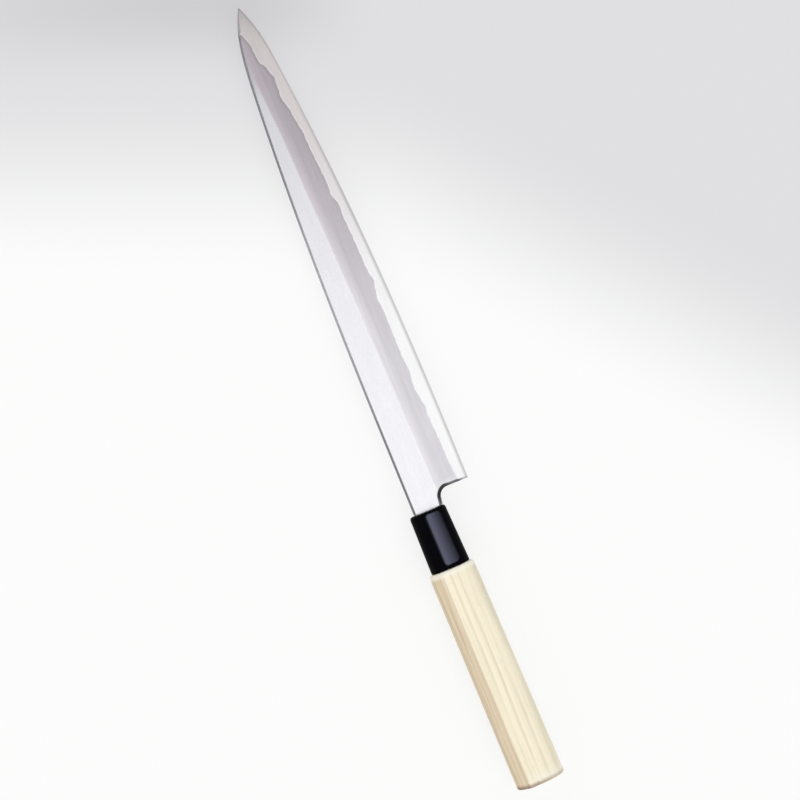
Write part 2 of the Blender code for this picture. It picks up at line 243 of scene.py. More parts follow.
def section(name, default):
    return FloatVectorProperty(
        name=name, description="Height and thickness", default=default, size=2, unit="LENGTH"
    )


def tint(name, description, default):
    return FloatVectorProperty(
        name=name, description=description, default=default, subtype="COLOR", min=0, max=1
    )


class BladeSizes(bpy.types.PropertyGroup):
    length: metres("Length", "From ferrule to tip", BLADE_LENGTH)
    heel_x: metres("Heel", "From ferrule to heel", 0.0078)
    heel_height: metres("Heel height", "From spine to edge at the heel", 0.0325)
    spine_thickness: metres("Spine thickness", "At the neck", 0.0034)
    ridge_at_heel: metres("Ridge thickness, heel", "Under the ridge line", 0.0030)
    ridge_at_tip: metres("Ridge thickness, tip", "Under the ridge line", 0.0015)
    edge_thickness: metres("Bevel's foot", "Where the bevel would meet the edge", 0.00015)
    small_bevel: metres("Small bevel", "Width of the honed strip along the edge", 0.0008)
    spine_roll: metres("Spine rounding", "Width of the rounded spine and choil", 0.0014)
    hollow_depth: metres("Hollow", "Depth of the hollow back", 0.0003)
    weld_from_edge: metres("Weld line", "Mean width of the edge steel on the bevel", 0.0060)


class GripSizes(bpy.types.PropertyGroup):
    ferrule_length: metres("Ferrule length", "Along the handle", 0.0305)
    ferrule_front: section("Ferrule, front", (0.0191, 0.0160))
    ferrule_rear: section("Ferrule, rear", (0.0206, 0.0168))
    handle_length: metres("Wood length", "Along the handle", 0.1162)
    handle_front: section("Wood, front", (0.02393, 0.01978))
    handle_butt: section("Wood, butt", (0.02514, 0.02072))
    shoulder: metres("Shoulder", "Rounding of the wood beside the ferrule", 0.0017)
    butt_rounding: metres("Butt rounding", "Rounding of the wood at the butt", 0.0010)


class KnifeColours(bpy.types.PropertyGroup):
    flat_face: tint("Flat face", "Polished iron", (0.738, 0.734, 0.762))
    haze_heel: tint("Haze, heel", "Stone-hazed iron near the heel", (0.70, 0.683, 0.725))
    haze_tip: tint("Haze, tip", "Stone-hazed iron near the tip", (0.505, 0.457, 0.495))
    steel_heel: tint("Edge steel, heel", "Polished edge steel near the heel", (0.757, 0.757, 0.762))
    steel_tip: tint("Edge steel, tip", "Polished edge steel near the tip", (0.767, 0.714, 0.721))
    # The spine colour is partly the duller iron of the rounded spine and partly painted shade, the dark
    # line along its rounding.
    spine: tint("Spine", "Dull iron of the rounded spine", (0.26, 0.27, 0.285))
    # The choil colour is partly darker iron and partly painted shade, the near-black line along the
    # choil's rounded rim.
    choil: tint("Choil", "Blackened iron of the neck and the choil", (0.045, 0.045, 0.048))
    horn: tint("Horn", "Black horn of the ferrule", (0.0018, 0.0018, 0.003))
    horn_streaks: tint("Horn streaks", "Paler streaks of the horn", (0.010, 0.008, 0.009))
    wood: tint("Wood", "Early wood of the handle", (0.98, 0.90, 0.70))
    grain: tint("Grain", "Late wood of the handle", (0.80, 0.715, 0.53))
    resin: tint("Resin", "Seal round the tang", (0.13, 0.065, 0.03))
    floor: tint("Floor", "Pale ground under the knife", (0.975, 0.98, 0.973))
    # Painted shade: the greyer ground beyond the tip.
    floor_shade: tint("Far floor", "Greyer ground beyond the tip", (0.753, 0.750, 0.766))


class BladeShape:
    """Works out the blade's surfaces from its sizes."""

    def __init__(self, sizes):
        self.sizes = sizes
        self.heel_x = sizes.heel_x
        self.heel_height = sizes.heel_height
        self.meeting = sizes.length + TIP_LAND
        self.foot = sizes.edge_thickness
        self.roll = sizes.spine_roll
        self.choil_line = self.draw_choil()

    def spine(self, x):
        belly = SPINE_BELLY_DROP * share(x, SPINE_BELLY_START, self.meeting) ** BELLY_POWER
        return belly + TIP_DROP * share(x, TIP_DROP_START, self.meeting) ** TIP_DROP_POWER

    def edge(self, x):
        sweep = self.heel_height - EDGE_BELLY - SPINE_BELLY_DROP - TIP_DROP
        belly = EDGE_BELLY * share(x, self.heel_x, self.meeting) ** BELLY_POWER
        return self.heel_height - belly - sweep * share(x, EDGE_SWEEP_START, self.meeting) ** 2

    def ridge(self, x):
        part = share(x, self.heel_x, self.meeting)
        return between(RIDGE_AT_HEEL, RIDGE_AT_TIP, part) + RIDGE_BOW * 4 * part * (1 - part)

    def ridge_thickness(self, x):
        part = share(x, self.heel_x, self.meeting)
        return between(self.sizes.ridge_at_heel, self.sizes.ridge_at_tip, part)

    def slope(self, x):
        """How steeply the bevel rises from the edge."""
        return (self.ridge_thickness(x) - self.foot) / (self.edge(x) - self.ridge(x))

    def top(self, x, drop):
        """Height of the bevelled face before its rims are rounded."""
        ridge = self.ridge(x)
        spine = self.spine(x)
        if drop >= ridge or ridge <= spine:
            return self.foot + self.slope(x) * (self.edge(x) - drop)
        rise = self.sizes.spine_thickness - self.sizes.ridge_at_heel
        rise *= 1 - share(x, self.heel_x, self.meeting)
        return self.ridge_thickness(x) + rise * (ridge - drop) / (ridge - spine)

    def weld_from_edge(self, x):
        reach = self.sizes.weld_from_edge
        reach += WELD_STEP * ease(share(x, WELD_STEP_START, WELD_STEP_END))
        for height, length, phase in WELD_WAVES:
            reach += height * math.sin(2 * math.pi * x / length + phase)
        for height, middle, width in WELD_BUMPS:
            reach += height * math.exp(-(((x - middle) / width) ** 2))
        return reach

    def weld(self, x):
        return self.edge(x) - self.weld_from_edge(x)

    def weld_height(self, x):
        return self.foot + self.slope(x) * self.weld_from_edge(x)

    def iron_floor(self, x):
        """Height of the soft iron's underside, which lies on the edge steel where there is any."""
        return 0.0 if x < STEEL_START else self.weld_height(x) + WELD_SEAM

    def hollow(self, x, part):
        """Depth of the hollow back, where part runs from -1 at one rim to 1 at the other."""
        fade_in = ease(share(x, HOLLOW_START, HOLLOW_START + HOLLOW_FADE))
        fade_out = ease(share(HOLLOW_END - x, 0.0, HOLLOW_FADE))
        return self.sizes.hollow_depth * fade_in * fade_out * (1 - part * part)

    def spine_roll(self, x):
        """Width and height of the rounding at the spine."""
        thickness = self.top(x, self.spine(x))
        width = min(self.roll, (self.edge(x) - self.spine(x)) / ROLLS_IN_BLADE)
        return width, min(self.roll * ROLL_PROPORTION, thickness * ROLL_MOST)

    def iron_end(self):
        """Where the weld line all but reaches the spine, and the soft iron runs out."""
        x = WELD_STEP_END
        while self.weld(x) > self.spine(x) + self.spine_roll(x)[0] + LAST_IRON:
            x += TIP_STEP / 10
        return x

    def roll_points(self, x, low, high):
        """The rounded spine between two heights, from its upright side towards the flat face."""
        spine = self.spine(x)
        width, height = self.spine_roll(x)
        start = self.top(x, spine + width) - height
        first = math.asin(share(low, start, start + height))
        last = math.asin(share(high, start, start + height))
        angles = evenly(first, last, ROLL_STEPS)
        return [(spine + width * (1 - math.cos(a)), start + height * math.sin(a)) for a in angles]

    def face_points(self, x, start, end, count):
        """Points on the bevelled face between two drops, the last one left out."""
        return [(drop, self.top(x, drop)) for drop in evenly(start, end, count)[:-1]]

    def back_points(self, x, chamfer):
        """Points on the hollow back, from its rim at the edge to its rim at the spine."""
        spine = self.spine(x)
        edge = self.edge(x)
        rim = min(HOLLOW_RIM, (edge - spine) / 4)
        middle = (spine + chamfer + edge) / 2
        half = (edge - spine - chamfer) / 2 - rim
        return [(middle + half * part, self.hollow(x, part)) for part in evenly(1, -1, HOLLOW_STEPS)]

    def iron_ring(self, x):
        """Outline across the soft iron: up its spine, over its faces and back under it."""
        weld = self.weld(x)
        floor = self.iron_floor(x)
        chamfer = WELD_SEAM if floor else NECK_FRONT
        points = self.roll_points(x, floor + chamfer / 2, self.sizes.spine_thickness)
        side = points[0][0]
        flat_start = points.pop()[0]
        ridge = min(max(self.ridge(x), flat_start), weld)
        soft = min(RIDGE_SOFTNESS, (ridge - flat_start) / 2, (weld - ridge) / 2)
        points += self.face_points(x, flat_start, ridge - soft, FLAT_STEPS)
        points.append((ridge - soft, self.top(x, ridge - soft)))
        points += self.face_points(x, ridge + soft, weld, BEVEL_STEPS)
        points.append((weld, self.weld_height(x)))
        under = max(weld - FIT, side + chamfer)
        points += [(under, floor), (side + chamfer, floor), (side, floor + chamfer / 2)]
        return self.in_place(x, points)

    def steel_ring(self, x):
        """Outline across the edge steel: over its bevel, back under it, and up to the soft iron."""
        spine = self.spine(x)
        edge = self.edge(x)
        weld = max(self.weld(x), spine + self.spine_roll(x)[0])
        honed = min(self.sizes.small_bevel, (edge - weld) / 3)
        soft = honed / 6
        points = self.face_points(x, weld, edge - honed - soft, STEEL_STEPS)
        points.append((edge - honed - soft, self.top(x, edge - honed - soft)))
        lip = self.foot / 3
        shoulder = between(self.top(x, edge - honed), lip, soft / honed)
        points += [(edge - honed + soft, shoulder), (edge, lip), (edge, 0.0)]
        chamfer = min(FIT, self.top(x, spine) / 4, (edge - spine) / 8)
        points += self.back_points(x, chamfer)
        points += [(spine + chamfer, 0.0), (spine, chamfer)]
        height = self.top(x, weld) - WELD_SEAM
        points += self.roll_points(x, 0.0, height)
        points += [(drop, height) for drop in evenly(points[-1][0], weld, SEAT_STEPS)[1:-1]]
        return self.in_place(x, points)

    def in_place(self, x, points):
        return [PLACE + Vector((x, -drop, height)) for drop, height in points]

    def draw_choil(self):
        """The curve from the neck round to the heel, in the blade's plane."""
        wall = self.heel_x + CHOIL_HOLLOW
        neck = NECK_HEIGHT + NECK_FLARE
        arc_end = Vector((wall - CHOIL_RADIUS, neck))
        arc_start = Vector((wall, neck + CHOIL_RADIUS))
        heel = Vector((self.heel_x, self.heel_height))
        along = Vector((CHOIL_RADIUS * QUARTER_ROUND, 0))
        down = Vector((0, CHOIL_RADIUS * QUARTER_ROUND))
        third = (heel.y - arc_start.y) / 3
        wall_start = arc_start + Vector((0, third))
        wall_end = heel + Vector((CHOIL_HOLLOW, -third))
        arc = interpolate_bezier(arc_end, arc_end + along, arc_start - down, arc_start, CHOIL_ARC_POINTS)
        wall_line = interpolate_bezier(arc_start, wall_start, wall_end, heel, CHOIL_WALL_POINTS)
        below = Vector((self.heel_x - CHOIL_HOLLOW, self.heel_height + OVERSIZE))
        neck_line = [Vector((-OVERSIZE, NECK_HEIGHT)), Vector((0, NECK_HEIGHT))]
        return [*neck_line, *arc, *wall_line[1:], below]

    def choil_roll(self, drop):
        """Width of the rounded rim along the choil, narrower towards the heel."""
        part = ease(share(drop, NECK_HEIGHT + CHOIL_RADIUS, self.heel_height))
        return between(CHOIL_ROLL, self.roll, part)

    def from_choil(self, x, drop):
        """Distance from the choil's curve, up to OVERSIZE."""
        here = Vector((x, drop))
        nearest = OVERSIZE
        for first, last in zip(self.choil_line, self.choil_line[1:]):
            point, along = intersect_point_line(here, first, last)
            point = first if along < 0 else last if along > 1 else point
            nearest = min(nearest, (here - point.to_2d()).length)
        return nearest


def wrap(rings):
    """A closed skin over rings of points: a grid is wrapped round them and its ends are filled."""
    shape = bmesh.new()
    around = len(rings[0])
    along = len(rings) - 1
    bmesh.ops.create_grid(shape, x_segments=along, y_segments=around, size=0.5)
    for vert in shape.verts:
        ring = rings[round((vert.co.x + 0.5) * along)]
        vert.co = ring[round((vert.co.y + 0.5) * around) % around]
    bmesh.ops.remove_doubles(shape, verts=shape.verts, dist=MERGE_DISTANCE)
    bmesh.ops.holes_fill(shape, edges=[edge for edge in shape.edges if edge.is_boundary], sides=0)
    bmesh.ops.recalc_face_normals(shape, faces=shape.faces)
    if shape.calc_volume(signed=True) < 0:
        bmesh.ops.reverse_faces(shape, faces=shape.faces)
    return shape


def new_piece(name, shape):
    """Makes a bmesh an object of the scene."""
    mesh = bpy.data.meshes.new(name)
    shape.to_mesh(mesh)
    shape.free()
    piece = bpy.data.objects.new(name, mesh)
    bpy.context.scene.collection.objects.link(piece)
    return piece


def carve(piece, cutters, operation="DIFFERENCE"):
    """Cuts each cutter out of a piece, or joins it to the piece, and removes the cutters."""
    for cutter in cutters:
        cut = piece.modifiers.new(cutter.name, "BOOLEAN")
        cut.operation = operation
        cut.solver = "EXACT"
        cut.object = cutter
    graph = bpy.context.evaluated_depsgraph_get()
    carved = bpy.data.meshes.new_from_object(piece.evaluated_get(graph))
    piece.modifiers.clear()
    whole = piece.data
    piece.data = carved
    carved.name = piece.name
    bpy.data.meshes.remove(whole)
    for cutter in cutters:
        bpy.data.objects.remove(cutter, do_unlink=True)


def settle(piece, node, finish):
    """Gives a piece its finish and shading, hangs it on the root body, and hides the frame's
    node that it stands for.
    """
    piece.data.materials.clear()
    piece.data.materials.append(finish)
    piece.data.shade_smooth()
    piece.data.set_sharp_from_angle(angle=CREASE)
    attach(piece, "root")
    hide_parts(node)


def choil_cutter(blade):
    """Everything behind the heel and under the neck."""
    shape = bmesh.new()
    corners = [*blade.choil_line, Vector((-OVERSIZE, blade.heel_height + OVERSIZE))]
    verts = [shape.verts.new(PLACE + Vector((c.x, -c.y, -OVERSIZE))) for c in corners]
    rim = [shape.edges.new(pair) for pair in zip(verts, verts[1:] + verts[:1])]
    base = bmesh.ops.contextual_create(shape, geom=rim)["faces"]
    raised = bmesh.ops.extrude_face_region(shape, geom=base)["geom"]
    up = Vector((0, 0, 2 * OVERSIZE))
    bmesh.ops.translate(shape, verts=[v for v in raised if isinstance(v, bmesh.types.BMVert)], vec=up)
    bmesh.ops.recalc_face_normals(shape, faces=shape.faces)
    return new_piece("choil", shape)


def round_choil(piece, blade, room):
    """Rounds the upper rim of the choil and of the neck's underside, as deep as there is room."""
    for vert in piece.data.vertices:
        here = vert.co - PLACE
        x, drop, height = here.x, -here.y, here.z
        if x > CHOIL_ZONE or drop < NECK_HEIGHT - CHOIL_ROLL:
            continue
        top = blade.top(x, drop)
        away = blade.from_choil(x, drop) / blade.choil_roll(drop)
        if away < 1 and height > top - CHOIL_STEP / 4:
            depth = max(0.0, min(top / 2, room(x, drop)))
            vert.co.z -= depth * (1 - math.sqrt(1 - (1 - away) ** 2))


def store(piece, name, values):
    """Stores a number for each point of a piece, for its finish to read."""
    piece.data.attributes.new(name, "FLOAT", "POINT").data.foreach_set("value", values)


def mark_blade(piece, blade):
    """Stores how far each point lies from the blade's lines."""
    lines = ("from_spine", "below_ridge", "above_weld", "from_edge", "from_choil")
    marks = []
    for vert in piece.data.vertices:
        here = vert.co - PLACE
        x, drop = here.x, -here.y
        from_choil = blade.from_choil(x, drop) if x < CHOIL_ZONE else OVERSIZE
        beside = (drop - blade.spine(x), drop - blade.ridge(x), blade.weld(x) - drop, blade.edge(x) - drop)
        marks.append((*beside, from_choil))
    for name, values in zip(lines, zip(*marks)):
        store(piece, name, values)


def mark_grip(piece):
    """Stores how far each point lies from the handle's line, in its plane and along it."""
    back = handle_line().inverted()
    places = [back @ vert.co for vert in piece.data.vertices]
    store(piece, "across", [place.y for place in places])
    store(piece, "along", [place.x for place in places])


def handle_line():
    """Carries a shape from the handle's own axis to its place."""
    middle = Vector((0, -HANDLE_AXIS_DROP, bpy.context.scene.blade_sizes.spine_thickness / 2))
    return Matrix.Translation(PLACE + middle) @ Matrix.Rotation(HANDLE_TURN, 4, "Z")


def bar(start, end, root, tail, corner=0.0):
    """A four-sided bar along the handle's line. root and tail are its height and thickness."""
    shape = bmesh.new()
    bmesh.ops.create_cube(shape, size=1.0)
    for vert in shape.verts:
        height, thickness = root if vert.co.x > 0 else tail
        x = start if vert.co.x > 0 else end
        vert.co = Vector((x, height * vert.co.y, thickness * vert.co.z))
    if corner:
        long_edges = [edge for edge in shape.edges if edge.verts[0].co.x != edge.verts[1].co.x]
        settings = {"segments": CORNER_STEPS, "profile": 0.5, "affect": "EDGES", "material": -1}
        bmesh.ops.bevel(shape, geom=long_edges, offset=corner, **settings)
    shape.transform(handle_line())
    return shape


def tang_passage(end):
    """What is cut out of a grip for the tang, down to an end."""
    root, tail = [(height + 2 * FIT, thickness + 2 * FIT) for height, thickness in (TANG_ROOT, TANG_END)]
    return new_piece("passage", bar(OVERSIZE, end, root, tail))


def dowel_bore(start):
    """What is cut out of a grip for the dowel, from a start."""
    shape = bmesh.new()
    end = DOWEL_END - FIT
    radius = (DOWEL_DIAMETER + 2 * FIT) / 2
    place = Matrix.Translation(((start + end) / 2, 0, 0)) @ Matrix.Rotation(math.pi / 2, 4, "Y")
    size = {"radius1": radius, "radius2": radius, "depth": start - end}
    bmesh.ops.create_cone(shape, cap_ends=True, segments=ROD_SIDES, matrix=place, **size)
    shape.transform(handle_line())
    return new_piece("bore", shape)


def grip_section(height, thickness, ridge):
    """The hull of an oval and of a small circle that makes the ridge. Each of its points is the
    one that lies furthest out in its own direction."""
    half_height = height / 2
    half_thickness = thickness / 2
    across, stand, rounding = ridge
    ridge_centre = Vector((across, half_thickness + stand - rounding))
    points = []
    for i in range(GRIP_POINTS):
        angle = 2 * math.pi * (i + 0.5) / GRIP_POINTS
        out = Vector((math.cos(angle), math.sin(angle)))
        reach = math.hypot(half_height * out.x, half_thickness * out.y)
        on_oval = Vector((half_height**2 * out.x, half_thickness**2 * out.y)) / reach
        on_ridge = ridge_centre + rounding * out
        points.append(max(on_oval, on_ridge, key=out.dot))
    return points


def grip_rings(start, length, front, rear, ridge, roundings, step):
    """Rings of a tapered grip with rounded rims, from its front to its rear."""
    first, last = roundings
    places = [(distance, 0.0) for distance in spread(first, length - last, step)]
    for i in range(RIM_STEPS):
        angle = math.pi / 2 * i / RIM_STEPS
        back = 1 - math.cos(angle)
        inset = 1 - math.sin(angle)
        places += [(first * back, first * inset), (length - last * back, last * inset)]
    rings = []
    line = handle_line()
    for distance, inset in sorted(places):
        part = distance / length
        height = between(front[0], rear[0], part)
        thickness = between(front[1], rear[1], part)
        ridge_here = (ridge[0] * (1 - 2 * inset / height), *ridge[1:])
        outline = grip_section(height - 2 * inset, thickness - 2 * inset, ridge_here)
        rings.append([line @ Vector((start - distance, point.x, point.y)) for point in outline])
    return rings


def shaded(colour, factor):
    """A colour's three parts made brighter or darker."""
    return [min(1.0, part * factor) for part in colour]


class Wire:
    """A socket of a finish's nodes, which can be used in sums."""

    def __init__(self, finish, socket):
        self.finish = finish
        self.socket = socket

    def __add__(self, other):
        return self.finish.maths("ADD", self, other)

    def __sub__(self, other):
        return self.finish.maths("SUBTRACT", self, other)

    def __rsub__(self, other):
        return self.finish.maths("SUBTRACT", other, self)

    def __mul__(self, other):
        return self.finish.maths("MULTIPLY", self, other)

    __radd__ = __add__
    __rmul__ = __mul__


class Finish:
    """A material, or the world, whose nodes are added one by one.

    A noise's three scales are its waves to the metre along X, Y and Z. A rise or a fall starts and
    ends at two values of its wire, which are metres for a distance.
    """

    def __init__(self, name, owner=None):
        self.owner = owner or bpy.data.materials.new(name)
        self.owner.use_nodes = True
        self.tree = self.owner.node_tree
        self.tree.nodes.clear()

    def node(self, kind, settings=None, inputs=None, result=0):
        """Adds a shader node of a kind, sets its settings, feeds its sockets with numbers or wires,
        and gives the wire of one of its results, if it has any."""
        made = self.tree.nodes.new("ShaderNode" + kind)
        for name, value in (settings or {}).items():
            setattr(made, name, value)
        for name, value in (inputs or {}).items():
            if isinstance(value, Wire):
                self.tree.links.new(value.socket, made.inputs[name])
            else:
                made.inputs[name].default_value = value
        return Wire(self, made.outputs[result]) if made.outputs else None

    def maths(self, operation, first, second=0.0, third=0.0):
        return self.node("Math", {"operation": operation}, {0: first, 1: second, 2: third})

    def vector_maths(self, operation, inputs, result=0):
        return self.node("VectorMath", {"operation": operation}, inputs, result)

    def length(self, vector):
        return self.vector_maths("LENGTH", {0: vector}, "Value")

    def mix(self, factor, first, second, blend="MIX"):
        """Mixes two colours, which are wires or three numbers."""
        colours = [c if isinstance(c, Wire) else (*c, 1.0) for c in (first, second)]
        settings = {"data_type": "RGBA", "blend_type": blend}
        return self.node("Mix", settings, {0: factor, 6: colours[0], 7: colours[1]}, 2)

    def scaled(self, colour, factor):
        """A colour made brighter or darker."""
        colour = colour if isinstance(colour, Wire) else tuple(colour)
        return self.vector_maths("SCALE", {0: colour, "Scale": factor})

    def rise(self, value, low, high, first=0.0, last=1.0):
        """A smooth step from first to last as the value goes from low to high."""
        inputs = {0: value, 1: low, 2: high, 3: first, 4: last}
        return self.node("MapRange", {"interpolation_type": "SMOOTHSTEP"}, inputs)

    def fall(self, value, low, high):
        """A smooth step from 1 to 0 as the value goes from low to high."""
        return self.rise(value, low, high, 1.0, 0.0)

    def line(self, name):
        """A stored distance of the mesh."""
        return self.node("Attribute", {"attribute_name": name}, result="Fac")

    def place(self):
        return self.node("TexCoord", result="Object")

    def axis(self, name, vector=None):
        """One of the three parts of the place, or of another vector."""
        return self.node("SeparateXYZ", None, {0: vector or self.place()}, name)

    def stretched(self, scale, move=(0, 0, 0), turn=(0, 0, 0)):
        """The place with its own scale on each axis."""
        inputs = {"Vector": self.place(), "Location": move, "Rotation": turn, "Scale": scale}
        return self.node("Mapping", None, inputs)

    def noise(self, scale, detail=3.0, rough=0.5, twist=0.0, move=(0, 0, 0), turn=(0, 0, 0)):
        inputs = {"Scale": 1.0, "Detail": detail, "Roughness": rough, "Distortion": twist}
        inputs["Vector"] = self.stretched(scale, move, turn)
        return self.node("TexNoise", None, inputs, "Fac")

    def bump(self, height, distance, strength):
        inputs = {"Height": height, "Distance": distance, "Strength": strength}
        return self.node("Bump", None, inputs)

    def principled(self, **sockets):
        names = {key.replace("_", " "): value for key, value in sockets.items()}
        return self.node("BsdfPrincipled", None, names)

    def finished(self, surface):
        """Ends a material with its shader."""
        self.node("OutputMaterial", None, {"Surface": surface})
        return self.owner

    def shade(self, **sockets):
        return self.finished(self.principled(**sockets))


def hazed_bevel(f, colours, along, clouds, fine, streaks):
    """Streaked haze of the bevel's iron, paler towards the ridge, darker by the weld line further
    on, and nearly bare beside the choil."""
    wander = (clouds - 0.5) * 0.0030
    pale = f.rise(along, 0.05, 0.11, 0.10, 0.21) * f.rise(along, 0.17, 0.25, 1.0, 0.65)
    lift = 0.95 + pale * f.fall(f.line("below_ridge") + wander, 0.0004, 0.0058)
    over_weld = f.fall(f.line("above_weld") + wander * 0.4, 0.0003, 0.0022) * f.rise(along, 0.13, 0.23)
    level = lift * (1 - over_weld * 0.14) * (1 + (fine - 0.5) * 0.14)
    level = level * (1 + (clouds - 0.5) * 0.16) * (1 + (streaks - 0.5) * 0.24)
    tone = f.mix(f.rise(along, 0.03, 0.24), colours.haze_heel, colours.haze_tip)
    bare = f.fall(f.line("from_choil") + wander * 0.3, 0.0026, 0.0038) * f.fall(along, 0.0125, 0.0140)
    return f.mix(bare * 0.65, f.scaled(tone, level), colours.flat_face)


def soft_iron_finish(colours):
    """Polished flat face over a stone-hazed bevel. Its dull spine and near-black choil rim are partly
    darker iron and partly painted shade.
    """
    f = Finish("hazed_soft_iron")
    along = f.axis("X") - PLACE.x
    from_edge = f.line("from_edge")
    from_choil = f.line("from_choil")
    clouds = f.noise((60, 260, 260), 4.0, 0.6, 0.4)
    fine = f.noise((420, 1500, 1500), 3.0, 0.65, turn=(0, 0, 0.5))
    streaks = f.noise((24, 800, 800), 3.0, 0.6, 0.4, move=(2, 5, 1))
    scratches = f.noise((90, 9000, 9000), 3.0, 0.7)
    long_scratches = f.noise((25, 5200, 5200), 2.0, 0.6, move=(3, 1, 2))

    polish = f.mix(f.rise(clouds, 0.35, 0.7), shaded(colours.flat_face, 0.97), colours.flat_face)
    polish = f.mix(f.rise(scratches, 0.6, 0.85) * 0.04, polish, shaded(colours.flat_face, 0.6))
    polish = f.scaled(polish, f.rise(along, 0.205, 0.245, 1.0, 0.92))
    haze = hazed_bevel(f, colours, along, clouds, fine, streaks)

    # The haze starts at a wandering ridge line, and covers the whole width near the tip
    wander = (fine - 0.5) * 0.0006 + (clouds - 0.5) * 0.0010 + (streaks - 0.5) * 0.0010
    wander = wander + f.rise(along, 0.20, 0.24, 0.0, 0.0009)
    on_bevel = f.rise(f.line("below_ridge") + wander, -0.0006, 0.0010)
    on_bevel = f.maths("MAXIMUM", on_bevel, f.rise(along + (clouds - 0.5) * 0.006, 0.221, 0.244))
    colour = f.mix(on_bevel, polish, haze)

    # Painted shade along the rounded spine: a dark grey band, partly its duller iron, with less metal,
    # lighter and darker along the blade.
    spine_rim = f.fall(f.line("from_spine"), 0.0008, 0.0015)
    paler = f.rise(along, 0.02, 0.11, 0.85, 1.8) * f.rise(along, 0.125, 0.19, 1.0, 0.60)
    colour = f.mix(spine_rim, colour, f.scaled(colours.spine, paler * (1 + (fine - 0.5) * 0.5)))
    # Painted shade along the choil's rounded rim: near black, partly darker iron, fainter by the ferrule
    # and towards the edge.
    wide = f.rise(from_edge, 0.009, 0.014, 0.0, 0.0005)
    choil_rim = f.fall(from_choil - wide, 0.0011, 0.0016) * f.rise(along, 0.0, 0.005, 0.72, 1.0)
    choil_rim = choil_rim * f.rise(from_edge, 0.0080, 0.0130, 0.84, 1.0)
    colour = f.mix(choil_rim, colour, f.scaled(colours.choil, 1 + (fine - 0.5) * 0.7))

    rough = f.rise(on_bevel, 0, 1, 0.26, 0.38) + choil_rim * 0.15 + (fine - 0.5) * 0.10
    normal = f.bump(scratches * 0.5 + long_scratches * 0.5 + fine * on_bevel * 0.4, 0.000002, 0.2)
    return f.shade(Base_Color=colour, Metallic=1 - spine_rim * 0.45, Roughness=rough, Normal=normal)


def edge_steel_finish(colours):
    """Polished edge steel with a honed strip at the edge and a hollow back."""
    f = Finish("polished_edge_steel")
    along = f.axis("X") - PLACE.x
    from_edge = f.line("from_edge")
    above_weld = f.line("above_weld")
    fine = f.noise((420, 1500, 1500), 3.0, 0.65, turn=(0, 0, 0.5))
    clouds = f.noise((45, 200, 200), 4.0, 0.6, 0.3, move=(5, 2, 0))
    scratches = f.noise((70, 9500, 9500), 3.0, 0.7, move=(1, 4, 2))

    colour = f.mix(f.rise(along, 0.10, 0.22), colours.steel_heel, colours.steel_tip)
    dim = f.rise(along, 0.110, 0.165, 1.0, 0.93) * f.rise(along, 0.19, 0.24, 1.0, 1.06)
    colour = f.scaled(colour, dim * f.rise(along, 0.245, 0.262, 1.0, 1.07))
    honed = f.fall(from_edge, 0.0007, 0.0021) * f.rise(along, 0.15, 0.25, 1.0, 0.1)
    level = (1 + (clouds - 0.5) * 0.12) * (1 + (fine - 0.5) * 0.05) * (1 - honed * 0.19)
    colour = f.scaled(colour, level)

    # Beside the weld line the steel is hazed at the heel and brighter further on
    seam = f.rise(above_weld, -0.0008, -0.0001) * f.fall(above_weld, 0.0, 0.0001)
    heel_haze = seam * f.rise(along, 0.03, 0.09, 0.45, 0.0) * f.rise(fine, 0.2, 0.7)
    colour = f.mix(heel_haze, colour, colours.haze_heel)
    colour = f.mix(seam * f.rise(along, 0.06, 0.12) * 0.5, colour, shaded(colours.steel_heel, 1.12))
    colour = f.mix(f.rise(scratches, 0.6, 0.85) * 0.08, colour, shaded(colours.steel_heel, 0.6))

    upper = f.rise(f.axis("Z") - PLACE.z, 0.00005, 0.00025)
    spine_rim = f.fall(f.line("from_spine"), 0.0004, 0.0010) * upper
    # The steel's spine near the tip takes the same dark grey, partly duller iron and partly painted shade.
    colour = f.mix(spine_rim * f.rise(along, 0.256, 0.262, 1.0, 0.6), colour, colours.spine)
    # The same near-black painted shade, partly darker iron, along the steel's part of the choil rim.
    choil_rim = f.fall(f.line("from_choil"), 0.0007, 0.0013) * upper
    choil_rim = choil_rim * f.rise(from_edge, 0.0010, 0.0060, 0.45, 1.0)
    colour = f.mix(choil_rim, colour, colours.choil)
    rough = 0.25 + (fine - 0.5) * 0.10 + honed * 0.06 + choil_rim * 0.2
    normal = f.bump(scratches + fine * 0.25, 0.000003, 0.5)
    return f.shade(Base_Color=colour, Metallic=1.0, Roughness=rough, Normal=normal)


